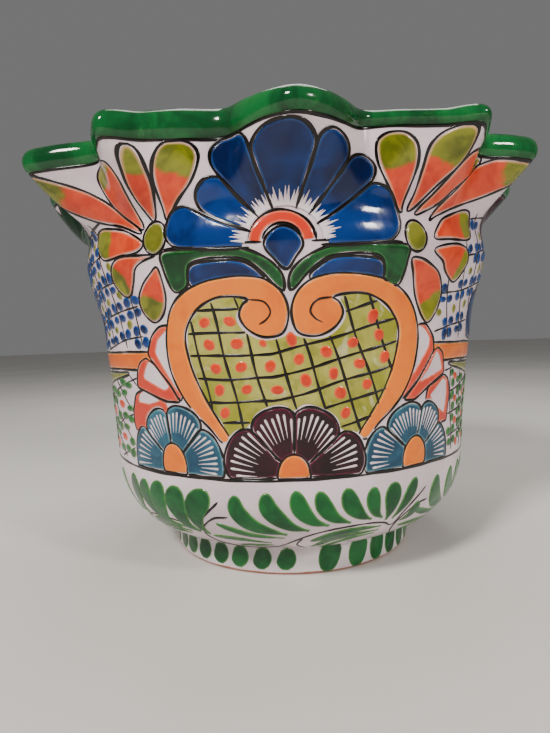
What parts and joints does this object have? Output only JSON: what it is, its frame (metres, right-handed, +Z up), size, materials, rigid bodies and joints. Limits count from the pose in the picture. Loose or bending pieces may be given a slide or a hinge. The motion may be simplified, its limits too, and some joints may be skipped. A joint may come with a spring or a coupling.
{
  "type": "glazed earthenware planter",
  "caption": "Round glazed planter on a foot ring, with a flared four-lobed collar, a thick rolled rim and raised painted flowers and scrolls.",
  "frame": {"origin": "centre of the foot on the table plane", "axes": "+Z up along the pot's axis; -Y towards the painted front; +X to the right of the front"},
  "size_m": [0.368, 0.368, 0.281],
  "materials": {
    "white_glaze": "glossy",
    "green_glaze": "glossy",
    "bare_clay": "matt"
  },
  "bodies": {
    "root": {"foot_ring": "white_glaze", "floor_disc": "bare_clay", "lower_bowl": "white_glaze", "drum_wall": "white_glaze", "flared_collar": "white_glaze", "rim_roll": "green_glaze"}
  },
  "joints": []
}
